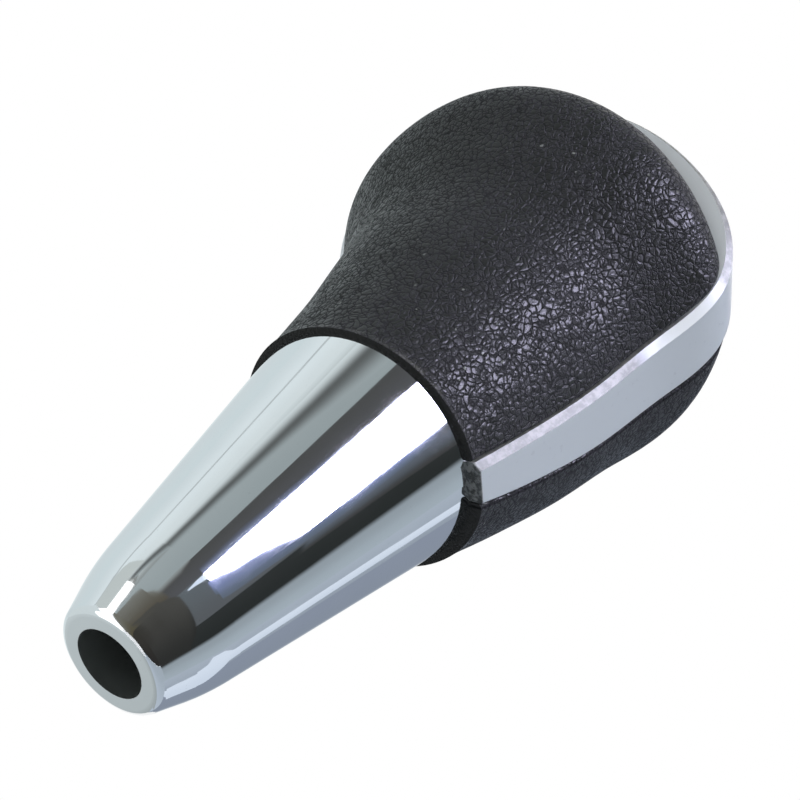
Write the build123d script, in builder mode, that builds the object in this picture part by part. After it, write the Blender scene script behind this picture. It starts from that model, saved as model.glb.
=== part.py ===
from build123d import *
import os
from math import atan, cos, degrees, radians, sin

os.makedirs("parts", exist_ok=True)

# A gear shift knob that screws onto the end of a gear lever: a tapered chrome sleeve over the
# lever, and a grip of two leather-grained shells with a satin band between them.
# All sizes are in millimetres. The origin is the centre of the sleeve's mouth. +Z runs up the
# lever into the grip, -Y is the bulging front of the grip and +Y its flatter back.

# Lever and its thread, M8 x 1.25
lever_radius = 4.0
lever_clearance = 0.2
thread_tap_radius = 3.4
thread_above_neck = 2.0
thread_length = 18.0
thread_overrun = 4.0

# Chrome sleeve
mouth_wall_length = 7.0
mouth_rim_radius = 6.5
mouth_rim_round = 1.2
mouth_taper_height = 6.5
mouth_taper_radius = 8.95
mouth_blend_radius = 30.0
neck_height = 44.0
neck_top_radius = 15.9
sleeve_wall = 2.0
shoulder_width = 2.2
spigot_wall = 1.5
spigot_height = 7.0
snap_depth = 0.3
snap_width = 1.2
snap_height = 3.0

# Grip sections up the flare: the height as a share of the flare, and how far the band's side,
# the front shell and the rear shell stand out there beyond the sleeve's top
flare_sections = [
    (0.00, 1.5, 0.7, 0.6),
    (0.25, 3.7, 3.8, 2.0),
    (0.50, 6.3, 6.6, 4.3),
    (0.75, 9.7, 7.2, 7.6),
    (1.00, 13.8, 7.5, 10.9),
]
flare_height = 43.5
crown_rise = 16.4
crown_angles = [20, 40, 57, 71, 82]
section_count = 14

# Satin band between the two shells
band_base_width = 5.4
band_top_width = 8.8
band_full_width_rise = 48.0
band_lower_bow = 3.2
band_upper_bow = 4.2
band_crown_lean = -20.5
band_thickness = 2.3
band_bevel = 0.9
band_rear_round = 0.3
band_flange_width = 6.5
band_flange_thickness = 1.0
band_gap = 0.15

# Grip shells
shell_wall = 3.0
front_step = 0.5
front_crown_step = 4.6
rear_step = -0.3
rear_crown_step = 0.6
front_edge_round = 0.5
rear_edge_round = 0.7
fit_clearance = 0.1

# Moulded core
core_bore_clearance = 0.7
tube_wall = 1.8
tube_end_gap = 0.3
plug_height = 5.0
flange_thickness = 2.0
hub_wall = 2.8
hub_cap = 3.0
web_thickness = 2.6
frame_rim = 2.2
frame_side_gap = 0.4
rib_thickness = 1.8
rib_rises = [27.0, 39.0, 53.0]
fin_count = 4
fin_thickness = 1.8
fin_bottom = 12.0
fin_gap = 0.3
pad_proud = 0.5

# Brass insert
insert_radius = 5.8
insert_groove_depth = 0.6
insert_groove_width = 2.0
insert_groove_places = [0.3, 0.7]
insert_chamfer = 0.5

# Screws that draw the front shell onto the core: a pair beside the hub and one above it
low_screw_rise = 16.0
top_screw_rise = 46.0
screw_hub_gap = 0.6
screw_radius = 1.4
screw_clearance = 0.15
screw_bite = 6.0
screw_pilot_spare = 0.7
screw_head_radius = 2.7
screw_head_height = 1.8
screw_recess_width = 0.9
screw_recess_length = 3.0
screw_recess_depth = 1.1
boss_radius = 3.2
boss_root = 1.5

# A pair of snap posts that hold the rear shell on the core
post_reach = 16.5
post_rise = 33.0
post_radius = 2.1
post_pad_wall = 1.1
post_barb = 0.4
post_barb_length = 2.2
post_barb_tip = 1.8
post_slit = 0.9
post_slit_depth = 7.0

bore_radius = lever_radius + lever_clearance
core_bore_radius = lever_radius + core_bore_clearance
spigot_radius = neck_top_radius - shoulder_width
spigot_bore = spigot_radius - spigot_wall
spigot_top = neck_height + spigot_height
snap_bottom = neck_height + snap_height
plug_radius = spigot_bore - fit_clearance
flange_top = spigot_top + flange_thickness
collar_radius = spigot_radius + fit_clearance
thread_height = neck_height + thread_above_neck
thread_top = thread_height + thread_length
hub_radius = insert_radius + hub_wall
lever_end = thread_top + thread_overrun
hub_top = lever_end + hub_cap
frame_inset = band_thickness + fit_clearance
post_pad_radius = post_radius + fit_clearance + post_pad_wall
widest_height = neck_height + flare_height
widest_half_width = neck_top_radius + flare_sections[-1][1]
crown_height = widest_height + crown_rise
band_full_width_height = neck_height + band_full_width_rise
rib_heights = [neck_height + rise for rise in rib_rises]
low_screw_height = neck_height + low_screw_rise
low_screw_reach = hub_radius + screw_hub_gap + boss_radius
screw_places = [
    (-low_screw_reach, low_screw_height),
    (low_screw_reach, low_screw_height),
    (0, neck_height + top_screw_rise),
]
post_places = [(side * post_reach, neck_height + post_rise) for side in (-1, 1)]
far = 60.0


cone_slope = (neck_top_radius - mouth_taper_radius) / (neck_height - mouth_taper_height)
cavity_cone_top = neck_height - (neck_top_radius - sleeve_wall - spigot_bore) / cone_slope


def cavity_radius(height):
    """Radius of the sleeve's inside: its outer cone less the wall, then the spigot's bore."""
    return spigot_bore - cone_slope * max(cavity_cone_top - height, 0)


def band_middle(height):
    """Y of the band's middle: it bows to the rear low down and leans forward to the crown."""
    rise = max(height - neck_height, 0) / (crown_height - neck_height)
    rest = 1 - rise
    lower = 3 * rest**2 * rise * band_lower_bow
    upper = 3 * rest * rise**2 * band_upper_bow
    return lower + upper + rise**3 * band_crown_lean


def band_edge(height, side):
    """Y of the band's front edge (side -1) or rear edge (side +1)."""
    rise = (height - neck_height) / (band_full_width_height - neck_height)
    growth = (band_top_width - band_base_width) * (1 - (1 - min(rise, 1)) ** 2)
    return band_middle(height) + side * (band_base_width + growth) / 2


def grip_sections(depth_column, step=0.0, crown_step=0.0, inset=0.0):
    """Height, half width and depth of each section of the grip, from the neck to the crown.

    depth_column picks the front (2) or rear (3) depth. step and crown_step are how far the
    form lies under the band's outline at the neck and at the crown, or proud of it where they
    are negative. inset is a wall.
    """
    sections = []
    for row in flare_sections:
        height = neck_height + row[0] * flare_height
        half_width = neck_top_radius + row[1] - step - inset
        depth = neck_top_radius + row[depth_column] - inset
        sections.append((height, half_width, depth))
    for angle in crown_angles:
        rise = sin(radians(angle))
        reach = cos(radians(angle))
        height = widest_height + (crown_rise - crown_step - inset) * rise
        half_width = widest_half_width - inset - step - (crown_step - step) * rise
        sections.append((height, half_width * reach, depth * reach))
    return sections


def grip_form(depth_column, step, crown_step, inset=0.0):
    """A closed solid through elliptical sections, centred on the band's middle.

    The sections are spaced evenly along one curve, whose X is a section's half width, its Y
    the depth and its Z the height.
    """
    rows = grip_sections(depth_column, step, crown_step, inset)
    sizes = Spline(*[(half_width, depth, height) for height, half_width, depth in rows])
    with BuildPart() as form:
        for number in range(section_count + 1):
            size = sizes @ (number / section_count)
            with BuildSketch(Plane.XY.offset(size.Z)):
                with BuildLine():
                    centre = (0, band_middle(size.Z))
                    EllipticalCenterArc(centre, size.X, size.Y, 0, arc_size=180)
                    EllipticalCenterArc(centre, size.X, size.Y, 180, arc_size=180)
                make_face()
        loft()
    return form.part


def front_form(inset=0.0):
    return grip_form(2, front_step, front_crown_step, inset)


def rear_form(inset=0.0):
    return grip_form(3, rear_step, rear_crown_step, inset)


def facing_front(y):
    """A plane across the grip at Y = y. What is extruded from it grows towards the front."""
    return Plane.XZ.offset(-y)


def outline_block(inset=0.0, skirt=0.0):
    """The band's outline, set in by inset, run right through the grip from front to back."""
    points = [(row[1], row[0]) for row in grip_sections(2, inset=inset)]
    base = neck_height - skirt
    start = points[0]
    flare_start = (points[1][0] - start[0], points[1][1] - start[1])
    with BuildPart() as block:
        with BuildSketch(facing_front(far)):
            with BuildLine():
                Spline(*points, (0, crown_height - inset), tangents=[flare_start, (-1, 0)])
                if skirt > 0:
                    Line(start, (start[0], base))
                Line((start[0], base), (0, base))
                mirror(about=Plane.YZ)
            make_face()
        extrude(amount=2 * far)
    return block.part


def slab(front_edge, rear_edge, base, top):
    """A solid between two curves of the side view, run right across the grip."""
    heights = [base + (top - base) * share for share in (0, 0.2, 0.4, 0.6, 0.8, 1)]
    front_points = [(front_edge(height), height) for height in heights]
    rear_points = [(rear_edge(height), height) for height in heights]
    with BuildPart() as block:
        with BuildSketch(Plane.YZ.offset(-far)):
            with BuildLine():
                Spline(*front_points)
                Line(front_points[-1], rear_points[-1])
                Spline(*rear_points)
                Line(rear_points[0], front_points[0])
            make_face()
        extrude(amount=2 * far)
    return block.part


def parting_slab(front_edge, rear_edge):
    return slab(front_edge, rear_edge, neck_height, crown_height + band_thickness)


def band_room(front_gap=0.0, rear_gap=0.0):
    """The room between the shells' parting edges, narrowed by a gap on each side."""
    return parting_slab(
        lambda height: band_edge(height, -1) + front_gap,
        lambda height: band_edge(height, 1) - rear_gap,
    )


def pad_faces(z, radius):
    """Y of a flat pad's rear and front faces, which stand proud of the leaning web."""
    middle = band_middle(z)
    lean = max(abs(band_middle(z + side * radius) - middle) for side in (-1, 1))
    reach = web_thickness / 2 + lean + pad_proud
    return middle + reach, middle - reach


def rod(x, z, radius, rear, front):
    """A round bar from front to back through (x, z), from Y = rear to Y = front."""
    with BuildPart() as bar:
        with BuildSketch(facing_front(rear)):
            with Locations((x, z)):
                Circle(radius)
        extrude(amount=rear - front)
    return bar.part


def collar():
    """The round seat in the shells for the sleeve's spigot and the core's flange."""
    with BuildPart() as seat:
        with BuildSketch(Plane.XY.offset(neck_height)):
            Circle(collar_radius)
        extrude(amount=flange_top + fit_clearance - neck_height)
    return seat.part


# Chrome sleeve over the lever
with BuildPart() as neck_sleeve:
    with BuildSketch(Plane.XZ):
        with BuildLine():
            FilletPolyline(
                (bore_radius, 0),
                (mouth_rim_radius, 0),
                (mouth_taper_radius, mouth_taper_height),
                (neck_top_radius, neck_height),
                radius=[mouth_rim_round, mouth_blend_radius],
            )
            Polyline(
                (neck_top_radius, neck_height),
                (spigot_radius, neck_height),
                (spigot_radius, spigot_top),
                (spigot_bore, spigot_top),
                (spigot_bore, cavity_cone_top),
                (cavity_radius(mouth_wall_length), mouth_wall_length),
                (bore_radius, mouth_wall_length),
                (bore_radius, 0),
            )
        make_face()
    revolve(axis=Axis.Z)
    with BuildSketch(Plane.XY.offset(snap_bottom)):
        Circle(spigot_bore + snap_depth)
        Circle(spigot_bore, mode=Mode.SUBTRACT)
    extrude(amount=snap_width, mode=Mode.SUBTRACT)

# Brass insert with the lever's thread, its grooves filled by the core around it
with BuildPart() as threaded_insert:
    with BuildSketch(Plane.XY.offset(thread_height)):
        Circle(insert_radius)
    extrude(amount=thread_length)
    chamfer(threaded_insert.edges(), length=insert_chamfer)
    for place in insert_groove_places:
        groove_bottom = thread_height + place * thread_length - insert_groove_width / 2
        with BuildSketch(Plane.XY.offset(groove_bottom)):
            Circle(hub_radius)
            Circle(insert_radius - insert_groove_depth, mode=Mode.SUBTRACT)
        extrude(amount=insert_groove_width, mode=Mode.SUBTRACT)
    insert_block = threaded_insert.part
    with BuildSketch(Plane.XY.offset(thread_height)):
        Circle(thread_tap_radius)
    extrude(amount=thread_length, mode=Mode.SUBTRACT)

# One fin of the core's tube, in the sleeve's cavity
with BuildPart() as fin:
    with BuildSketch(Plane.XZ):
        with BuildLine():
            Polyline(
                (core_bore_radius + tube_wall / 2, fin_bottom),
                (cavity_radius(fin_bottom) - fin_gap, fin_bottom),
                (spigot_bore - fin_gap, cavity_cone_top),
                (spigot_bore - fin_gap, spigot_top),
                (core_bore_radius + tube_wall / 2, spigot_top),
                close=True,
            )
        make_face()
    extrude(amount=fin_thickness / 2, both=True)

# The web behind the band, its ribs, and the rim that the band lies on
with BuildPart() as web:
    add(outline_block(frame_inset))
    add(
        slab(
            lambda height: band_middle(height) - web_thickness / 2,
            lambda height: band_middle(height) + web_thickness / 2,
            spigot_top,
            crown_height,
        ),
        mode=Mode.INTERSECT,
    )

with BuildPart() as frame:
    add(outline_block(frame_inset))
    add(outline_block(frame_inset + frame_rim, skirt=frame_rim), mode=Mode.SUBTRACT)
    for height in rib_heights:
        with BuildSketch(Plane.XY.offset(height - rib_thickness / 2)):
            Rectangle(2 * (widest_half_width - frame_inset), 2 * far)
        extrude(amount=rib_thickness)
    add(outline_block(frame_inset), mode=Mode.INTERSECT)
    add(band_room(band_flange_thickness + frame_side_gap, frame_side_gap), mode=Mode.INTERSECT)
    split(bisect_by=Plane.XY.offset(flange_top), keep=Keep.TOP)

# Moulded core: tube and fins, plug, flange, hub and web in one
with BuildPart() as core:
    with BuildSketch(Plane.XY.offset(mouth_wall_length + tube_end_gap)):
        Circle(core_bore_radius + tube_wall)
    extrude(amount=spigot_top - mouth_wall_length - tube_end_gap)
    with PolarLocations(0, fin_count):
        add(fin.part)
    with BuildSketch(Plane.XY.offset(spigot_top - plug_height)):
        Circle(plug_radius)
    extrude(amount=plug_height)
    with BuildSketch(Plane.XY.offset(snap_bottom + fit_clearance)):
        Circle(plug_radius + snap_depth)
    extrude(amount=snap_width - 2 * fit_clearance)
    with BuildSketch(Plane.XY.offset(spigot_top)):
        Circle(spigot_radius)
    extrude(amount=flange_thickness)
    with BuildSketch(Plane.XY.offset(flange_top)):
        Circle(hub_radius)
    extrude(amount=hub_top - flange_top)
    add(web.part)
    add(frame.part)
    for x, z in screw_places:
        add(rod(x, z, boss_radius, *pad_faces(z, boss_radius)))
        add(rod(x, z, screw_radius + screw_clearance, *pad_faces(z, boss_radius)), mode=Mode.SUBTRACT)
    for x, z in post_places:
        add(rod(x, z, post_pad_radius, *pad_faces(z, post_pad_radius)))
        add(rod(x, z, post_radius + fit_clearance, *pad_faces(z, post_pad_radius)), mode=Mode.SUBTRACT)
    with BuildSketch(Plane.XY.offset(mouth_wall_length)):
        Circle(core_bore_radius)
    extrude(amount=lever_end - mouth_wall_length, mode=Mode.SUBTRACT)
    add(insert_block, mode=Mode.SUBTRACT)

# Front shell, with a boss for each screw
with BuildPart() as front_bosses:
    for x, z in screw_places:
        seat = pad_faces(z, boss_radius)[1]
        add(rod(x, z, boss_radius, seat, -far))
    add(front_form(shell_wall - boss_root), mode=Mode.INTERSECT)

with BuildPart() as front_grip:
    add(front_form())
    add(front_form(shell_wall), mode=Mode.SUBTRACT)
    add(collar(), mode=Mode.SUBTRACT)
    add(
        parting_slab(lambda height: -far, lambda height: band_edge(height, -1) - band_gap),
        mode=Mode.INTERSECT,
    )
    parting_edge = front_grip.edges().sort_by(SortBy.LENGTH)[-1]
    fillet(parting_edge, radius=front_edge_round)
    add(front_bosses.part)
    for x, z in screw_places:
        seat = pad_faces(z, boss_radius)[1]
        pilot_end = seat - screw_bite - screw_pilot_spare
        add(rod(x, z, screw_radius, seat, pilot_end), mode=Mode.SUBTRACT)

# Rear shell, with a slit and barbed post for each hole in the web
with BuildPart() as rear_posts:
    for x, z in post_places:
        shoulder = pad_faces(z, post_pad_radius)[1] - fit_clearance
        add(rod(x, z, post_radius, far, shoulder))
    add(rear_form(shell_wall - boss_root), mode=Mode.INTERSECT)
    for x, z in post_places:
        shoulder = pad_faces(z, post_pad_radius)[1] - fit_clearance
        with BuildSketch(facing_front(shoulder)):
            with Locations((x, z)):
                Circle(post_radius + post_barb)
        barb_angle = degrees(atan((post_radius + post_barb - post_barb_tip) / post_barb_length))
        extrude(amount=post_barb_length, taper=barb_angle)
        tip = shoulder - post_barb_length
        with BuildSketch(facing_front(tip + post_slit_depth)):
            with Locations((x, z)):
                Rectangle(post_slit, 2 * (post_radius + post_barb))
        extrude(amount=post_slit_depth, mode=Mode.SUBTRACT)

with BuildPart() as rear_grip:
    add(rear_form())
    add(rear_form(shell_wall), mode=Mode.SUBTRACT)
    add(collar(), mode=Mode.SUBTRACT)
    add(
        parting_slab(lambda height: band_edge(height, 1) + band_gap, lambda height: far),
        mode=Mode.INTERSECT,
    )
    parting_edge = rear_grip.edges().sort_by(SortBy.LENGTH)[-1]
    fillet(parting_edge, radius=rear_edge_round)
    add(rear_posts.part)

# The band's flange over the crown, which fills the parting in front of the core's rim
with BuildPart() as crown_flange:
    add(outline_block(band_thickness / 2))
    add(outline_block(band_flange_width), mode=Mode.SUBTRACT)
    add(
        parting_slab(
            lambda height: band_edge(height, -1),
            lambda height: band_edge(height, -1) + band_flange_thickness,
        ),
        mode=Mode.INTERSECT,
    )
    split(bisect_by=Plane.XY.offset(widest_height), keep=Keep.TOP)

# Satin band in the parting, bevelled along its front edge
with BuildPart() as trim_band:
    add(outline_block())
    add(outline_block(band_thickness, skirt=band_thickness), mode=Mode.SUBTRACT)
    add(band_room(), mode=Mode.INTERSECT)
    outer_face = trim_band.faces().sort_by(SortBy.AREA)[-1]
    front_edge, rear_edge = outer_face.edges().sort_by(SortBy.LENGTH)[-2:].sort_by(Axis.Y)
    chamfer(front_edge, length=band_bevel)
    fillet(rear_edge, radius=band_rear_round)
    add(crown_flange.part)

# Self-tapping screws through the web into the front shell
with BuildPart() as shell_screws:
    for x, z in screw_places:
        head_seat, boss_seat = pad_faces(z, boss_radius)
        shank_tip = boss_seat - screw_bite
        add(rod(x, z, screw_head_radius, head_seat + screw_head_height, head_seat))
        add(rod(x, z, screw_radius, head_seat, shank_tip))
        with BuildSketch(facing_front(head_seat + screw_head_height)):
            with Locations((x, z)):
                Rectangle(screw_recess_length, screw_recess_width)
                Rectangle(screw_recess_width, screw_recess_length)
        extrude(amount=screw_recess_depth, mode=Mode.SUBTRACT)

sub_parts = {
    "neck_sleeve": neck_sleeve,
    "threaded_insert": threaded_insert,
    "core": core,
    "front_grip": front_grip,
    "rear_grip": rear_grip,
    "trim_band": trim_band,
    "shell_screws": shell_screws,
}
for label, builder in sub_parts.items():
    builder.part.label = label
    export_step(builder.part, f"parts/{label}.step")
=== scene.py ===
import math

import bpy
from mathutils import Matrix, Vector


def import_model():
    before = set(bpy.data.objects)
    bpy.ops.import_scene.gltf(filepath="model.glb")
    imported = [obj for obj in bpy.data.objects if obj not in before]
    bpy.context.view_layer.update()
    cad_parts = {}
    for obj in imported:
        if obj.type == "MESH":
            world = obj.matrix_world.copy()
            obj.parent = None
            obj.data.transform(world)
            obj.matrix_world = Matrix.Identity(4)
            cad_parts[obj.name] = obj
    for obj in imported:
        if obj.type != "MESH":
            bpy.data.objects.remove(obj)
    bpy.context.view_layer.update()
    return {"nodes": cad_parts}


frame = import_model()
nodes = frame["nodes"]
scene = bpy.context.scene

MM = 0.001

# The photograph's camera, in metres. The lens is for a sensor 36 mm wide.
CAMERA_PLACE = (0.09064, -0.09068, -0.07172)
CAMERA_RIGHT = (0.835791, 0.086196, 0.542239)
CAMERA_UP = (-0.208960, -0.863341, 0.459324)
CAMERA_BACK = (0.507729, -0.497205, -0.703561)
CAMERA_LENS = 63.76
SENSOR_WIDTH = 36.0
CLIP_START, CLIP_END = 0.005, 20.0

# The part's own measures, which the materials are laid out by: the sleeve's top edge, the
# head from there to its crown, the bore's radius, and the course of the band's rear edge.
NECK_TOP = 44.0 * MM
HEAD_HEIGHT = 59.9 * MM
BORE_EDGE = (4.21 * MM, 4.27 * MM)
BAND_BOW_LOW, BAND_BOW_HIGH = 9.6 * MM, 12.6 * MM
BAND_LEAN, BAND_LEAN_POWER = -20.5 * MM, 3.0
BAND_HALF, BAND_NARROWING = 4.4 * MM, -1.7 * MM
BAND_FULL_HEIGHT = 48.0 * MM

# Where most of a noise's values lie.
NOISE_RANGE = (0.3, 0.7)


# ---------------------------------------------------------------- node helpers
class Graph:
    """Short calls for building one material's nodes.

    Scales count waves or cells for each metre, and depths are in metres.
    """

    def __init__(self, name):
        self.material = bpy.data.materials.new(name)
        self.material.use_nodes = True
        self.tree = self.material.node_tree
        self.shader = self.tree.nodes["Principled BSDF"]
        self.place = self.add("ShaderNodeTexCoord").outputs["Object"]

    def add(self, kind, **settings):
        node = self.tree.nodes.new(kind)
        for key, value in settings.items():
            setattr(node, key, value)
        return node

    def link(self, source, target):
        self.tree.links.new(source, target)

    def feed(self, target, value):
        """Links a socket, or sets a plain value."""
        if isinstance(value, bpy.types.NodeSocket):
            self.link(value, target)
        else:
            target.default_value = value

    def noise(self, scale, detail, rough, colour=False):
        node = self.add("ShaderNodeTexNoise")
        node.inputs["Scale"].default_value = scale
        node.inputs["Detail"].default_value = detail
        node.inputs["Roughness"].default_value = rough
        self.link(self.place, node.inputs["Vector"])
        return node.outputs["Color" if colour else "Fac"]

    def voronoi(self, scale, feature="F1", vector=None, output="Distance"):
        node = self.add("ShaderNodeTexVoronoi", feature=feature)
        node.inputs["Scale"].default_value = scale
        self.link(vector or self.place, node.inputs["Vector"])
        return node.outputs[output]

    def math(self, operation, a, b=0.0, c=0.0, clamp=False):
        node = self.add("ShaderNodeMath", operation=operation, use_clamp=clamp)
        for socket, value in zip(node.inputs, (a, b, c)):
            self.feed(socket, value)
        return node.outputs[0]

    def plus(self, a, b):
        return self.math("ADD", a, b)

    def less(self, a, b):
        return self.math("SUBTRACT", a, b)

    def times(self, a, b, clamp=False):
        return self.math("MULTIPLY", a, b, clamp=clamp)

    def line(self, value, slope, start):
        return self.math("MULTIPLY_ADD", value, slope, start)

    def span(self, value, low, high, to_low=0.0, to_high=1.0, smooth=True):
        node = self.add("ShaderNodeMapRange")
        node.interpolation_type = "SMOOTHSTEP" if smooth else "LINEAR"
        self.feed(node.inputs["Value"], value)
        node.inputs["From Min"].default_value = low
        node.inputs["From Max"].default_value = high
        node.inputs["To Min"].default_value = to_low
        node.inputs["To Max"].default_value = to_high
        return node.outputs["Result"]

    def fall(self, value, low, high):
        """1 up to the low value, and from there down to 0 at the high one."""
        return self.span(value, low, high, 1.0, 0.0)

    def vmath(self, operation, a, b):
        node = self.add("ShaderNodeVectorMath", operation=operation)
        self.feed(node.inputs[0], a)
        self.feed(node.inputs[1], b)
        return node.outputs["Vector"]

    def vscale(self, vector, amount):
        node = self.add("ShaderNodeVectorMath", operation="SCALE")
        self.feed(node.inputs[0], vector)
        node.inputs["Scale"].default_value = amount
        return node.outputs["Vector"]

    def sway(self, scale, rough, reach):
        """A vector that wanders to half the reach each way."""
        middle = (0.5, 0.5, 0.5)
        wander = self.noise(scale, detail=2.0, rough=rough, colour=True)
        return self.vscale(self.vmath("SUBTRACT", wander, middle), reach)

    def mix(self, factor, a, b):
        node = self.add("ShaderNodeMix", data_type="RGBA")
        self.feed(node.inputs["Factor"], factor)
        for name, value in (("A", a), ("B", b)):
            socket = [s for s in node.inputs if s.name == name and s.type == "RGBA"][0]
            self.feed(socket, (*value, 1.0) if isinstance(value, tuple) else value)
        return [s for s in node.outputs if s.type == "RGBA"][0]

    def axis(self, which, vector=None):
        node = self.add("ShaderNodeSeparateXYZ")
        self.link(vector or self.place, node.inputs[0])
        return node.outputs[which]

    def bump(self, height, distance, strength=1.0, under=None):
        node = self.add("ShaderNodeBump")
        node.inputs["Distance"].default_value = distance
        node.inputs["Strength"].default_value = strength
        self.link(height, node.inputs["Height"])
        if under is not None:
            self.link(under, node.inputs["Normal"])
        return node.outputs["Normal"]

    def finish(self, **sockets):
        """Feeds the shader's sockets. A uniform number is set on the socket itself."""
        for name, value in sockets.items():
            self.feed(self.shader.inputs[name.replace("_", " ")], value)
        return self.material


# ---------------------------------------------------------------- leather grain
# The net of creases: how it wanders, the stretch and turn of its space, its two sizes of
# cell, and what makes up the height of the bump.
SWAY_SCALE, SWAY_ROUGH, SWAY_REACH = 520.0, 0.5, 1.2 * MM
JITTER_SCALE, JITTER_ROUGH, JITTER_REACH = 2300.0, 0.6, 0.26 * MM
CELL_STRETCH, CELL_TURN = (1.0, 1.0, 0.82), (0.15, 0.12, 0.0)
BIG_SCALE, BIG_CREASE, BIG_DOME = 1230.0, 0.13, 0.50
SMALL_SCALE, SMALL_CREASE, SMALL_FAINTNESS = 2350.0, 0.15, 0.45
PATCH_SCALE, PATCH_EDGE = 330.0, (0.42, 0.60)
LUMP_SCALE, PORE_SCALE, TONE_SCALE = 1500.0, 4200.0, 90.0
CREASE_SHARE, DOME_SHARE, LUMP_SHARE = 0.70, 0.34, 0.16
GRAIN_DEPTH, PORE_DEPTH = 0.13 * MM, 0.02 * MM
LEATHER_DARK, LEATHER_PALE = (0.0110, 0.0120, 0.0115), (0.0160, 0.0170, 0.0165)
# the creases' colour is painted shade, darker than the pebbles
CREASE_SHADE_COLOUR = (0.0040, 0.0043, 0.0042)
CREASE_ROUGHNESS, PEBBLE_ROUGHNESS = 0.85, 0.28
LEATHER_SPECULAR, LEATHER_IOR = 0.32, 1.5

# The pale flecks, painted glints of light off the grain, and the areas that have them.
GLINT_FLECK_SCALE, GLINT_FLECK_EDGE, GLINT_FLECK_COLOUR = 620.0, (0.07, 0.13), (0.16, 0.17, 0.165)
GLINT_PATCH_SCALE, GLINT_PATCH_EDGE = 62.0, (0.50, 0.60)

# The lip over the sleeve: the heights and the Y places over which its rubbed look fades.
LIP_HEIGHTS = (NECK_TOP + 0.25 * MM, NECK_TOP + 1.0 * MM)
LIP_FRONT = (-12.5 * MM, -9.5 * MM)
RUB_SCALE, RUB_EDGE, RUB_COLOUR = 420.0, (0.40, 0.62), (0.115, 0.115, 0.110)
RUB_FRONT, RUB_ELSEWHERE = 0.38, 0.05
UNDERSIDE_HEIGHTS = (NECK_TOP + 0.03 * MM, NECK_TOP + 0.2 * MM)
UNDERSIDE_COLOUR = (0.012, 0.013, 0.0125)

# The seam lies between these distances behind the band. Its dark colour is painted shade in the
# groove.
SEAM_NEAR, SEAM_FAR = (0.45 * MM, 0.60 * MM), (0.80 * MM, 0.95 * MM)
SEAM_SHADE_COLOUR, SEAM_ROUGHNESS = (0.0015, 0.0015, 0.0018), 0.9


def behind_band(g):
    """Metres behind the band's rear edge, which bows to the rear and leans to the crown."""
    height = g.less(g.axis("Z"), NECK_TOP)
    rise = g.times(height, 1.0 / HEAD_HEIGHT, clamp=True)
    rest = g.less(1.0, rise)
    both = g.times(rise, rest)
    lower = g.times(g.times(both, rest), BAND_BOW_LOW)
    upper = g.times(g.times(both, rise), BAND_BOW_HIGH)
    lean = g.times(g.math("POWER", rise, BAND_LEAN_POWER), BAND_LEAN)
    short_of_full = g.less(1.0, g.times(height, 1.0 / BAND_FULL_HEIGHT, clamp=True))
    half = g.line(g.times(short_of_full, short_of_full), BAND_NARROWING, BAND_HALF)
    edge = g.plus(g.plus(lower, upper), g.plus(lean, half))
    return g.less(g.axis("Y"), edge)


def grain_cells(g):
    """The grain's own space: it wanders at two scales and is drawn out along the grip."""
    swayed = g.vmath("ADD", g.place, g.sway(SWAY_SCALE, SWAY_ROUGH, SWAY_REACH))
    swayed = g.vmath("ADD", swayed, g.sway(JITTER_SCALE, JITTER_ROUGH, JITTER_REACH))
    stretched = g.add("ShaderNodeMapping")
    stretched.inputs["Scale"].default_value = CELL_STRETCH
    stretched.inputs["Rotation"].default_value = CELL_TURN
    g.link(swayed, stretched.inputs["Vector"])
    return stretched.outputs["Vector"]


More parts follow.
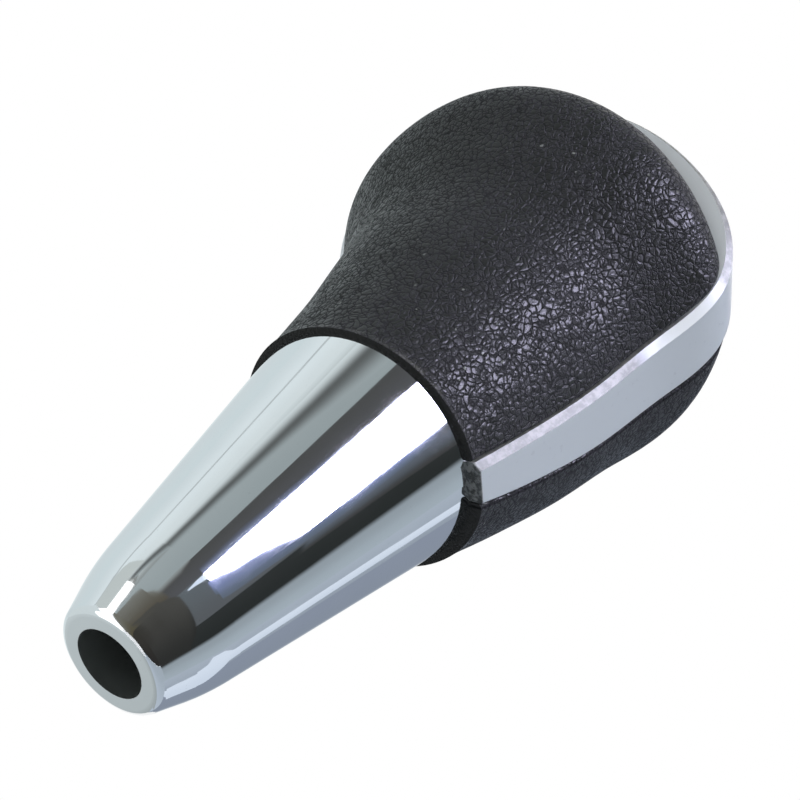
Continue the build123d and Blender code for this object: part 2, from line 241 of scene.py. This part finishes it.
def leather_grain(name):
    """Moulded leather grain: rounded pebbles parted by a net of fine creases."""
    g = Graph(name)
    cells = grain_cells(g)
    big_edge = g.voronoi(BIG_SCALE, "DISTANCE_TO_EDGE", cells)
    small_edge = g.voronoi(SMALL_SCALE, "DISTANCE_TO_EDGE", cells)
    # the small creases are faint, and missing in patches
    patches = g.span(g.noise(PATCH_SCALE, detail=2.0, rough=0.5), *PATCH_EDGE)
    small = g.line(g.span(small_edge, 0.0, SMALL_CREASE), 1.0 - SMALL_FAINTNESS, SMALL_FAINTNESS)
    creased = g.times(g.span(big_edge, 0.0, BIG_CREASE), g.math("MAXIMUM", small, patches))
    domes = g.span(big_edge, 0.0, BIG_DOME)
    height = g.plus(g.times(creased, CREASE_SHARE), g.times(domes, DOME_SHARE))
    lumps = g.noise(LUMP_SCALE, detail=2.0, rough=0.5)
    height = g.plus(height, g.times(lumps, LUMP_SHARE))
    pores = g.noise(PORE_SCALE, detail=2.0, rough=0.6)
    normal = g.bump(pores, PORE_DEPTH, under=g.bump(height, GRAIN_DEPTH))

    tone = g.mix(g.noise(TONE_SCALE, detail=3.0, rough=0.6), LEATHER_DARK, LEATHER_PALE)
    # the creases are painted darker than the pebbles: painted shade in the creases
    colour = g.mix(creased, CREASE_SHADE_COLOUR, tone)
    # sparse pale flecks: painted glints of light off the grain
    glint_patches = g.span(g.noise(GLINT_PATCH_SCALE, detail=2.0, rough=0.5), *GLINT_PATCH_EDGE)
    glint_fleck = g.times(g.fall(g.voronoi(GLINT_FLECK_SCALE, "F1", cells), *GLINT_FLECK_EDGE), glint_patches)
    colour = g.mix(glint_fleck, colour, GLINT_FLECK_COLOUR)
    # the lip over the sleeve is rubbed grey in places, and its underside is dark and dull
    lip = g.fall(g.axis("Z"), *LIP_HEIGHTS)
    front = g.fall(g.axis("Y"), *LIP_FRONT)
    rubbed = g.times(lip, g.span(g.noise(RUB_SCALE, detail=3.0, rough=0.6), *RUB_EDGE))
    rubbed = g.times(rubbed, g.line(front, RUB_FRONT, RUB_ELSEWHERE))
    colour = g.mix(rubbed, colour, RUB_COLOUR)
    above = g.span(g.axis("Z"), *UNDERSIDE_HEIGHTS)
    colour = g.mix(above, UNDERSIDE_COLOUR, colour)
    # a fine seam runs behind the band, painted dark as the shade in its groove
    behind = behind_band(g)
    shaded_seam = g.times(g.span(behind, *SEAM_NEAR), g.fall(behind, *SEAM_FAR))
    colour = g.mix(shaded_seam, colour, SEAM_SHADE_COLOUR)
    roughness = g.span(g.times(creased, above), 0.0, 1.0, CREASE_ROUGHNESS, PEBBLE_ROUGHNESS,
                       smooth=False)
    roughness = g.math("MAXIMUM", roughness, g.times(shaded_seam, SEAM_ROUGHNESS))
    return g.finish(Base_Color=colour, Roughness=roughness, Normal=normal,
                    Specular_IOR_Level=LEATHER_SPECULAR, IOR=LEATHER_IOR)


# ---------------------------------------------------------------- chrome
HAZE_SCALE, CHROME_ROUGHNESS = 160.0, (0.035, 0.075)
SPECK_SCALE, SPECK_EDGE, SPECK_COLOUR = 900.0, (0.02, 0.06), (0.62, 0.63, 0.65)
CHROME_DARK, CHROME_PALE = (0.80, 0.82, 0.84), (0.86, 0.875, 0.885)
RIPPLE_SCALE, RIPPLE_DEPTH, RIPPLE_STRENGTH = 70.0, 0.2 * MM, 0.16
BORE_COLOUR, BORE_ROUGHNESS = (0.045, 0.052, 0.049), 0.5


def chrome(name):
    """Mirror chrome. The plating ends at the bore, where the moulding is dark and bare."""
    g = Graph(name)
    haze = g.noise(HAZE_SCALE, detail=4.0, rough=0.6)
    clear = g.span(g.voronoi(SPECK_SCALE), *SPECK_EDGE)
    colour = g.mix(clear, SPECK_COLOUR, g.mix(haze, CHROME_DARK, CHROME_PALE))
    square = g.plus(g.math("POWER", g.axis("X"), 2.0), g.math("POWER", g.axis("Y"), 2.0))
    plated = g.span(g.math("POWER", square, 0.5), *BORE_EDGE)
    colour = g.mix(plated, BORE_COLOUR, colour)
    roughness = g.span(haze, *NOISE_RANGE, *CHROME_ROUGHNESS)
    roughness = g.math("MAXIMUM", roughness, g.span(plated, 0.0, 1.0, BORE_ROUGHNESS, 0.0))
    ripple = g.noise(RIPPLE_SCALE, detail=2.0, rough=0.4)
    normal = g.bump(ripple, RIPPLE_DEPTH, RIPPLE_STRENGTH)
    return g.finish(Base_Color=colour, Metallic=plated, Roughness=roughness, Normal=normal)


# ---------------------------------------------------------------- satin band
# The coating, the bare end under BARE_HEIGHTS, and what the normal's Y and Z are on the
# faces that look forward and down, where the bevel is painted darker as shade and the
# crown's face lighter as a painted highlight.
WASH_SCALE, MOTTLE_SCALE, MOTTLE_EDGE = 70.0, 900.0, (0.62, 0.72)
SILVER_DARK, SILVER_PALE = (0.500, 0.530, 0.575), (0.545, 0.575, 0.620)
MOTTLE_COLOUR = (0.47, 0.495, 0.54)
BARE_HEIGHTS = (NECK_TOP + 0.05 * MM, NECK_TOP + 0.35 * MM)
BLOTCH_SCALE, BLOTCH_EDGE = 1100.0, (0.42, 0.60)
BARE_DARK, BARE_PALE = (0.018, 0.021, 0.021), (0.11, 0.12, 0.12)
FORWARD_NORMAL, DOWN_NORMAL = (-0.45, -0.25), (-0.55, -0.35)
BEVEL_EDGE = (0.40, 0.62)
BEVEL_SHADE_DARK, BEVEL_SHADE_PALE = (0.15, 0.155, 0.145), (0.23, 0.235, 0.22)
CROWN_FACE_HIGHLIGHT_COLOUR = (0.60, 0.63, 0.65)
SATIN_METAL, LIT_CROWN_FACE_METAL = 0.55, 0.10
BARE_ROUGHNESS, SATIN_ROUGHNESS = 0.62, 0.30
MOTTLE_ROUGHER, BEVEL_ROUGHER = 0.06, 0.20
SATIN_SCALE, SATIN_DEPTH, SATIN_STRENGTH = 6000.0, 0.01 * MM, 0.25
BARE_DEPTH, BARE_STRENGTH = 0.4 * MM, 0.8


def satin_band(name):
    """Satin silver coating, and at the band's open lower end the bare, rough moulding."""
    g = Graph(name)
    mottle = g.noise(MOTTLE_SCALE, detail=4.0, rough=0.65)
    silver = g.mix(g.noise(WASH_SCALE, detail=3.0, rough=0.5), SILVER_DARK, SILVER_PALE)
    silver = g.mix(g.span(mottle, *MOTTLE_EDGE), silver, MOTTLE_COLOUR)
    coated = g.span(g.axis("Z"), *BARE_HEIGHTS)
    blotches = g.noise(BLOTCH_SCALE, detail=5.0, rough=0.7)
    bare = g.mix(g.span(blotches, *BLOTCH_EDGE), BARE_DARK, BARE_PALE)
    colour = g.mix(coated, bare, silver)
    # what faces forward is the bevel, painted darker as shade, but at the crown it leans down and
    # is painted bright as a highlight
    facing = g.add("ShaderNodeTexCoord").outputs["Normal"]
    forward = g.fall(g.axis("Y", facing), *FORWARD_NORMAL)
    lit_crown_face = g.times(forward, g.fall(g.axis("Z", facing), *DOWN_NORMAL))
    bevel = g.less(forward, lit_crown_face)
    shaded_bevel_tone = g.mix(g.span(mottle, *BEVEL_EDGE), BEVEL_SHADE_DARK, BEVEL_SHADE_PALE)
    # the forward bevel gets a darker colour: painted shade
    colour = g.mix(g.times(bevel, coated), colour, shaded_bevel_tone)
    # the crown's down-facing face gets a pale colour and less metal: a painted highlight
    colour = g.mix(g.times(lit_crown_face, coated), colour, CROWN_FACE_HIGHLIGHT_COLOUR)
    metal = g.times(coated, g.line(lit_crown_face, LIT_CROWN_FACE_METAL - SATIN_METAL, SATIN_METAL))
    roughness = g.plus(g.span(coated, 0.0, 1.0, BARE_ROUGHNESS, SATIN_ROUGHNESS),
                       g.times(mottle, MOTTLE_ROUGHER))
    roughness = g.plus(roughness, g.times(bevel, BEVEL_ROUGHER))
    fine = g.noise(SATIN_SCALE, detail=2.0, rough=0.6)
    fine = g.bump(fine, SATIN_DEPTH, SATIN_STRENGTH)
    rough_end = g.times(blotches, g.less(1.0, coated))
    normal = g.bump(rough_end, BARE_DEPTH, BARE_STRENGTH, fine)
    return g.finish(Base_Color=colour, Metallic=metal, Roughness=roughness, Normal=normal)


# ---------------------------------------------------------------- materials inside the knob
NYLON_DARK, NYLON_PALE = (0.018, 0.018, 0.019), (0.034, 0.034, 0.036)
NYLON_FLOW_SCALE, NYLON_FINE_SCALE, NYLON_DEPTH = 140.0, 2600.0, 0.04 * MM
NYLON_ROUGHNESS = (0.42, 0.55)
BRASS_DARK, BRASS_PALE = (0.72, 0.54, 0.25), (0.80, 0.63, 0.34)
TURNING_SCALE, TURNING_DISTORTION, TURNING_DEPTH = 900.0, 0.6, 0.03 * MM
TARNISH_SCALE, BRASS_ROUGHNESS = 220.0, (0.24, 0.36)
ZINC_DARK, ZINC_PALE = (0.50, 0.51, 0.53), (0.62, 0.63, 0.65)
SPANGLE_SCALE, ZINC_FINE_SCALE, ZINC_DEPTH = 1300.0, 3000.0, 0.02 * MM
ZINC_ROUGHNESS = (0.26, 0.38)


def nylon(name):
    g = Graph(name)
    flow = g.noise(NYLON_FLOW_SCALE, detail=4.0, rough=0.6)
    colour = g.mix(flow, NYLON_DARK, NYLON_PALE)
    fine = g.noise(NYLON_FINE_SCALE, detail=3.0, rough=0.6)
    normal = g.bump(fine, NYLON_DEPTH, strength=0.5)
    roughness = g.span(flow, *NOISE_RANGE, *NYLON_ROUGHNESS)
    return g.finish(Base_Color=colour, Roughness=roughness, Normal=normal)


def turned_brass(name):
    g = Graph(name)
    rings = g.add("ShaderNodeTexWave", wave_type="BANDS", bands_direction="Z")
    rings.inputs["Scale"].default_value = TURNING_SCALE
    rings.inputs["Distortion"].default_value = TURNING_DISTORTION
    g.link(g.place, rings.inputs["Vector"])
    tarnish = g.noise(TARNISH_SCALE, detail=4.0, rough=0.6)
    colour = g.mix(tarnish, BRASS_DARK, BRASS_PALE)
    normal = g.bump(rings.outputs["Fac"], TURNING_DEPTH, strength=0.5)
    roughness = g.span(tarnish, *NOISE_RANGE, *BRASS_ROUGHNESS)
    return g.finish(Base_Color=colour, Roughness=roughness, Normal=normal, Metallic=1.0)


def zinc_steel(name):
    g = Graph(name)
    tone = g.axis("X", g.voronoi(SPANGLE_SCALE, output="Color"))
    colour = g.mix(tone, ZINC_DARK, ZINC_PALE)
    fine = g.noise(ZINC_FINE_SCALE, detail=3.0, rough=0.6)
    normal = g.bump(fine, ZINC_DEPTH, strength=0.4)
    roughness = g.span(tone, 0.0, 1.0, *ZINC_ROUGHNESS)
    return g.finish(Base_Color=colour, Roughness=roughness, Normal=normal, Metallic=1.0)


def dress(node, material):
    mesh = nodes[node].data
    mesh.materials.clear()
    mesh.materials.append(material)


grain = leather_grain("grip_grain")
dress("neck_sleeve", chrome("chrome_sleeve"))
dress("front_grip", grain)
dress("rear_grip", grain)
dress("trim_band", satin_band("band_satin"))
dress("core", nylon("core_plastic"))
dress("threaded_insert", turned_brass("insert_brass"))
dress("shell_screws", zinc_steel("screw_steel"))


# ---------------------------------------------------------------- studio
FLOOR_Z = -0.12
FLOOR_HALF = 2.5
FLOOR_COLOUR, FLOOR_ROUGHNESS = (0.86, 0.87, 0.88), 0.9
FLOOR_GLOW, FLOOR_GLOW_SHARE = (0.90, 0.91, 0.92), 0.65

BACKDROP, BACKDROP_STRENGTH = (1.0, 1.0, 1.0), 1.0
AMBIENT, AMBIENT_STRENGTH = (0.96, 0.98, 1.0), 0.50

# The cards stand on rings of these radii round the studio's centre. A ring further in
# hides the ones behind it, and on the floor it lies a little higher than they do.
STUDIO_CENTRE = Vector((0.0, 0.0, 0.030))
CARD_DISTANCE = 0.60
EDGE_DISTANCE = 0.59
OVERLAY_DISTANCE = 0.58
LAMP_DISTANCE = 0.57
CARD_FLOOR = FLOOR_Z + 0.002
RING_STEP = 0.2
CARD_COLUMNS = 14
LAMP_CENTRE = Vector((0.0, 0.0, 0.06))

# Elevations in degrees from the studio's centre: a wall's foot and top, the foot of the
# overlays, and the far and near edge of the cards that lie on the floor.
WALL_BOTTOM, WALL_TOP = -13.8, 64.0
OVERLAY_FOOT = -14
FLOOR_FAR, FLOOR_NEAR = -12, -78


def floor():
    """A pale floor. Part of what the camera sees of it is a plain even white."""
    material = bpy.data.materials.new("pale_floor")
    material.use_nodes = True
    tree = material.node_tree
    shader = tree.nodes["Principled BSDF"]
    shader.inputs["Base Color"].default_value = (*FLOOR_COLOUR, 1.0)
    shader.inputs["Roughness"].default_value = FLOOR_ROUGHNESS
    rays = tree.nodes.new("ShaderNodeLightPath")
    share = tree.nodes.new("ShaderNodeMath")
    share.operation = "MULTIPLY"
    share.inputs[1].default_value = FLOOR_GLOW_SHARE
    glow = tree.nodes.new("ShaderNodeEmission")
    glow.inputs["Color"].default_value = (*FLOOR_GLOW, 1.0)
    mix = tree.nodes.new("ShaderNodeMixShader")
    tree.links.new(rays.outputs["Is Camera Ray"], share.inputs[0])
    tree.links.new(share.outputs[0], mix.inputs["Fac"])
    tree.links.new(shader.outputs[0], mix.inputs[1])
    tree.links.new(glow.outputs[0], mix.inputs[2])
    tree.links.new(mix.outputs[0], tree.nodes["Material Output"].inputs["Surface"])
    mesh = bpy.data.meshes.new("floor")
    corners = [(x * FLOOR_HALF, y * FLOOR_HALF, FLOOR_Z)
               for x, y in ((-1, -1), (1, -1), (1, 1), (-1, 1))]
    mesh.from_pydata(corners, [], [(0, 1, 2, 3)])
    mesh.materials.append(material)
    plane = bpy.data.objects.new("floor", mesh)
    scene.collection.objects.link(plane)


def on_ring(azimuth, elevation, distance):
    """A point on an upright ring round the object, or on the floor inside the ring."""
    a, e = math.radians(azimuth), math.radians(elevation)
    lowest = CARD_FLOOR + (CARD_DISTANCE - distance) * RING_STEP
    if STUDIO_CENTRE.z + distance * math.tan(e) < lowest:
        distance = (lowest - STUDIO_CENTRE.z) / math.tan(e)
    return STUDIO_CENTRE + distance * Vector((math.cos(a), math.sin(a), math.tan(e)))


def card_mesh(name, distance, rows):
    """A curved sheet, with a map that runs from 0 at its left side to 1 at its right."""
    points = []
    for elevation, start, end in rows:
        for step in range(CARD_COLUMNS + 1):
            azimuth = start + (end - start) * step / CARD_COLUMNS
            points.append(tuple(on_ring(azimuth, elevation, distance)))
    row_length = CARD_COLUMNS + 1
    faces = [(corner, corner + 1, corner + row_length + 1, corner + row_length)
             for row in range(len(rows) - 1)
             for corner in range(row * row_length, row * row_length + CARD_COLUMNS)]
    mesh = bpy.data.meshes.new(name)
    mesh.from_pydata(points, [], faces)
    across = mesh.uv_layers.new(name="across")
    for loop in mesh.loops:
        across.data[loop.index].uv = (loop.vertex_index % row_length / CARD_COLUMNS, 0.5)
    return mesh


def card(name, distance, rows, left, right=None):
    """A studio card that shades from its left colour to its right one.

    rows gives its two side azimuths at each elevation, from its lower edge up. Only gloss
    sees it.
    """
    mesh = card_mesh(name, distance, rows)
    material = bpy.data.materials.new(name)
    material.use_nodes = True
    tree = material.node_tree
    tree.nodes.clear()
    shade = tree.nodes.new("ShaderNodeValToRGB")
    shade.color_ramp.interpolation = "EASE"
    shade.color_ramp.elements[0].color = (*left, 1.0)
    shade.color_ramp.elements[1].color = (*(right or left), 1.0)
    split = tree.nodes.new("ShaderNodeSeparateXYZ")
    uv = tree.nodes.new("ShaderNodeUVMap")
    uv.uv_map = "across"
    glow = tree.nodes.new("ShaderNodeEmission")
    out = tree.nodes.new("ShaderNodeOutputMaterial")
    tree.links.new(uv.outputs["UV"], split.inputs[0])
    tree.links.new(split.outputs["X"], shade.inputs["Fac"])
    tree.links.new(shade.outputs["Color"], glow.inputs["Color"])
    tree.links.new(glow.outputs[0], out.inputs["Surface"])
    mesh.materials.append(material)
    board = bpy.data.objects.new(name, mesh)
    scene.collection.objects.link(board)
    board.visible_camera = False
    board.visible_diffuse = False
    board.visible_shadow = False


def softbox(name, azimuth, elevation, distance, size, watts):
    """A soft lamp aimed at the object. Gloss doesn't see it."""
    light = bpy.data.lights.new(name, "AREA")
    light.shape = "RECTANGLE"
    light.size, light.size_y = size
    light.energy = watts
    lamp = bpy.data.objects.new(name, light)
    a, e = math.radians(azimuth), math.radians(elevation)
    aim = Vector((math.cos(e) * math.cos(a), math.cos(e) * math.sin(a), math.sin(e)))
    lamp.location = LAMP_CENTRE + distance * aim
    lamp.rotation_euler = aim.to_track_quat("Z", "Y").to_euler()
    lamp.visible_glossy = False
    scene.collection.objects.link(lamp)


def world():
    """A white backdrop for the camera, for gloss and through glass, and a dimmer soft light."""
    sky = bpy.data.worlds.new("studio")
    scene.world = sky
    sky.use_nodes = True
    tree = sky.node_tree
    tree.nodes.clear()
    rays = tree.nodes.new("ShaderNodeLightPath")
    shown = rays.outputs["Is Camera Ray"]
    for kind in ("Is Glossy Ray", "Is Transmission Ray"):
        either = tree.nodes.new("ShaderNodeMath")
        either.operation = "MAXIMUM"
        tree.links.new(shown, either.inputs[0])
        tree.links.new(rays.outputs[kind], either.inputs[1])
        shown = either.outputs[0]
    mix = tree.nodes.new("ShaderNodeMixShader")
    tree.links.new(shown, mix.inputs["Fac"])
    for place, colour, strength in ((1, AMBIENT, AMBIENT_STRENGTH),
                                    (2, BACKDROP, BACKDROP_STRENGTH)):
        background = tree.nodes.new("ShaderNodeBackground")
        background.inputs["Color"].default_value = (*colour, 1.0)
        background.inputs["Strength"].default_value = strength
        tree.links.new(background.outputs[0], mix.inputs[place])
    out = tree.nodes.new("ShaderNodeOutputWorld")
    tree.links.new(mix.outputs[0], out.inputs["Surface"])


def wall(start, end):
    """The rows of a card with plumb sides that stands on the floor."""
    return [(WALL_BOTTOM, start, end), (WALL_TOP, start, end)]


# Each card's name, distance, rows, and its left and right colour. A card that doesn't
# shade gives one colour.
CARDS = [
    # What the chrome sees, going round the object: light walls and a curved grey board, the
    # large softbox between two black flags, and a cool grey wall on the other side.
    ("edge_wall", CARD_DISTANCE, wall(120, 160), (0.95, 1.0, 1.0), (0.70, 0.78, 0.80)),
    ("light_wall", CARD_DISTANCE, wall(160, 200), (0.66, 0.73, 0.75), (0.68, 0.77, 0.79)),
    ("bright_wall", CARD_DISTANCE, wall(200, 222), (0.70, 0.78, 0.80), (0.79, 0.87, 0.89)),
    ("white_wall", CARD_DISTANCE, wall(222, 242), (0.80, 0.88, 0.90), (0.74, 0.81, 0.82)),
    ("turned_wall", CARD_DISTANCE, wall(242, 256), (0.70, 0.77, 0.78), (0.30, 0.33, 0.33)),
    ("grey_board", CARD_DISTANCE, wall(256, 284), (0.37, 0.42, 0.43), (0.34, 0.39, 0.40)),
    ("black_flag_left", CARD_DISTANCE, wall(282, 306),
     (0.080, 0.082, 0.082), (0.095, 0.098, 0.105)),
    ("under_board", CARD_DISTANCE, wall(306, 351), (0.13, 0.15, 0.165), (0.11, 0.12, 0.13)),
    ("black_flag_right", CARD_DISTANCE, wall(349, 374),
     (0.033, 0.037, 0.037), (0.026, 0.030, 0.030)),
    ("flag_edge", CARD_DISTANCE, wall(373, 379), (0.030, 0.034, 0.034), (0.32, 0.37, 0.41)),
    ("cool_wall", CARD_DISTANCE, wall(379, 400), (0.33, 0.38, 0.42), (0.43, 0.50, 0.56)),
    ("cool_wall_end", CARD_DISTANCE, wall(400, 424), (0.44, 0.50, 0.58), (0.34, 0.39, 0.46)),
    ("violet_wall", CARD_DISTANCE, wall(424, 468), (0.28, 0.32, 0.40), (0.26, 0.30, 0.37)),
    ("end_wall", CARD_DISTANCE, wall(468, 500), (0.27, 0.31, 0.38), (0.95, 0.98, 1.0)),
    # Cards in front of the walls, which give the reflections their curved edges.
    ("thin_shadow", OVERLAY_DISTANCE, [(-10, 217, 219), (28, 221, 223), (WALL_TOP, 222, 224)],
     (0.52, 0.57, 0.58)),
    ("low_shade", OVERLAY_DISTANCE, [(OVERLAY_FOOT, 222, 241), (2, 219, 241), (6, 226, 243)],
     (0.58, 0.63, 0.62)),
    ("arc_left", OVERLAY_DISTANCE,
     [(-2, 240, 244), (5, 240, 246), (10, 241, 247.5), (15, 243, 250), (20, 244, 256),
      (25, 247, 259), (40, 250, 265)],
     (0.70, 0.77, 0.78), (0.12, 0.13, 0.13)),
    ("arc_right", OVERLAY_DISTANCE,
     [(-2, 244, 248), (5, 246, 251), (10, 247.5, 254), (15, 250, 259), (20, 256, 266),
      (25, 259, 277), (40, 265, 292)],
     (0.12, 0.13, 0.13), (0.36, 0.41, 0.42)),
    ("board_foot", OVERLAY_DISTANCE, [(-9, 283, 290), (5, 283, 290), (11, 283, 285)],
     (0.30, 0.33, 0.33), (0.10, 0.10, 0.10)),
    ("under_shade", OVERLAY_DISTANCE, [(OVERLAY_FOOT, 288, 374), (-6, 302, 374), (-3.5, 308, 352)],
     (0.075, 0.074, 0.068), (0.030, 0.031, 0.030)),
    ("flag_top", OVERLAY_DISTANCE, [(17, 350, 357), (40, 350, 372)],
     (0.12, 0.14, 0.17), (0.055, 0.057, 0.057)),
    ("glint_band", OVERLAY_DISTANCE,
     [(OVERLAY_FOOT, 419, 430), (0, 418, 432), (6, 404, 440), (11, 405, 437), (15, 409, 421),
      (25, 410, 419), (36, 412, 418)],
     (0.77, 0.85, 0.97), (0.70, 0.78, 0.90)),
    ("white_end", OVERLAY_DISTANCE,
     [(OVERLAY_FOOT, 472, 500), (-4, 466, 500), (6, 467, 500), (14, 471, 500), (20, 480, 500)],
     (1.0, 1.0, 1.0)),
    # The softbox, with its blue fringes and the faint tail under it.
    ("softbox_fringe", OVERLAY_DISTANCE,
     [(8.5, 318, 334), (12, 316, 345), (16, 330, 349), (20, 338, 352), (25, 341, 350)],
     (0.30, 0.36, 0.66), (0.13, 0.16, 0.21)),
    ("fringe_left", OVERLAY_DISTANCE, [(10, 300, 308), (14, 297, 308), (21, 303, 307)],
     (0.10, 0.11, 0.14), (0.32, 0.37, 0.56)),
    ("softbox_tail", OVERLAY_DISTANCE,
     [(1, 308.7, 310.3), (6, 307.6, 311.8), (11.5, 307, 316)],
     (0.80, 0.90, 1.05)),
    ("softbox_front", LAMP_DISTANCE,
     [(9.5, 307.5, 313), (11, 307, 316), (12.5, 306.5, 325), (15, 306, 333),
      (17, 305.5, 343), (29, 305, 343), (30, 314, 356), (40, 319, 360)],
     (16.0, 15.6, 21.0)),
    # What the sleeve's rounded tip and rim see below: a light floor with a lamp in it, a
    # brown board, a dark one and a cool one.
    ("low_back", CARD_DISTANCE, [(FLOOR_NEAR, 90, 160), (FLOOR_FAR, 100, 160)],
     (0.38, 0.42, 0.43), (0.60, 0.66, 0.67)),
    ("low_light", CARD_DISTANCE, [(FLOOR_NEAR, 160, 222), (FLOOR_FAR, 160, 224)],
     (0.68, 0.75, 0.76), (0.70, 0.77, 0.78)),
    ("low_lamp", OVERLAY_DISTANCE,
     [(FLOOR_NEAR, 170, 251), (-58, 170, 251), (-35, 221, 252), (-20, 229, 256),
      (FLOOR_FAR, 238, 259)],
     (1.6, 1.6, 1.6)),
    ("low_lamp_tip", OVERLAY_DISTANCE,
     [(FLOOR_FAR, 236, 259), (-9, 235.5, 257), (-6, 236.5, 253), (-4, 239, 250), (-3, 242, 247)],
     (1.6, 1.6, 1.6)),
    ("lamp_edge", EDGE_DISTANCE,
     [(-6.5, 234, 255), (-3.5, 237, 252), (-1.5, 241, 249), (-0.5, 243, 247)],
     (0.42, 0.45, 0.44), (0.20, 0.21, 0.20)),
    ("low_brown", CARD_DISTANCE, [(FLOOR_NEAR, 253, 300), (FLOOR_FAR, 256, 300)],
     (0.19, 0.19, 0.165), (0.10, 0.09, 0.06)),
    ("brown_edge", OVERLAY_DISTANCE, [(FLOOR_FAR, 256, 300), (-8, 262, 300), (-6.5, 280, 300)],
     (0.19, 0.19, 0.17), (0.10, 0.09, 0.07)),
    ("low_dark", CARD_DISTANCE, [(FLOOR_NEAR, 300, 370), (FLOOR_FAR, 300, 372)],
     (0.045, 0.043, 0.038), (0.028, 0.027, 0.026)),
    ("low_cool", CARD_DISTANCE, [(FLOOR_NEAR, 370, 470), (FLOOR_FAR, 373, 470)],
     (0.40, 0.46, 0.52), (0.50, 0.57, 0.66)),
]

floor()
world()
for row in CARDS:
    card(*row)
softbox("key_light", azimuth=-35, elevation=32, distance=0.60, size=(0.34, 0.45), watts=3.2)
softbox("fill_light", azimuth=150, elevation=35, distance=0.70, size=(0.5, 0.5), watts=1.6)

# ---------------------------------------------------------------- camera
lens = bpy.data.cameras.new("photo_camera")
lens.sensor_fit = "HORIZONTAL"
lens.sensor_width = SENSOR_WIDTH
lens.lens = CAMERA_LENS
lens.clip_start = CLIP_START
lens.clip_end = CLIP_END
camera = bpy.data.objects.new("photo_camera", lens)
axes = Matrix((CAMERA_RIGHT, CAMERA_UP, CAMERA_BACK)).transposed()
camera.matrix_world = Matrix.Translation(CAMERA_PLACE) @ axes.to_4x4()
scene.collection.objects.link(camera)
scene.camera = camera

scene.view_settings.view_transform = "Standard"
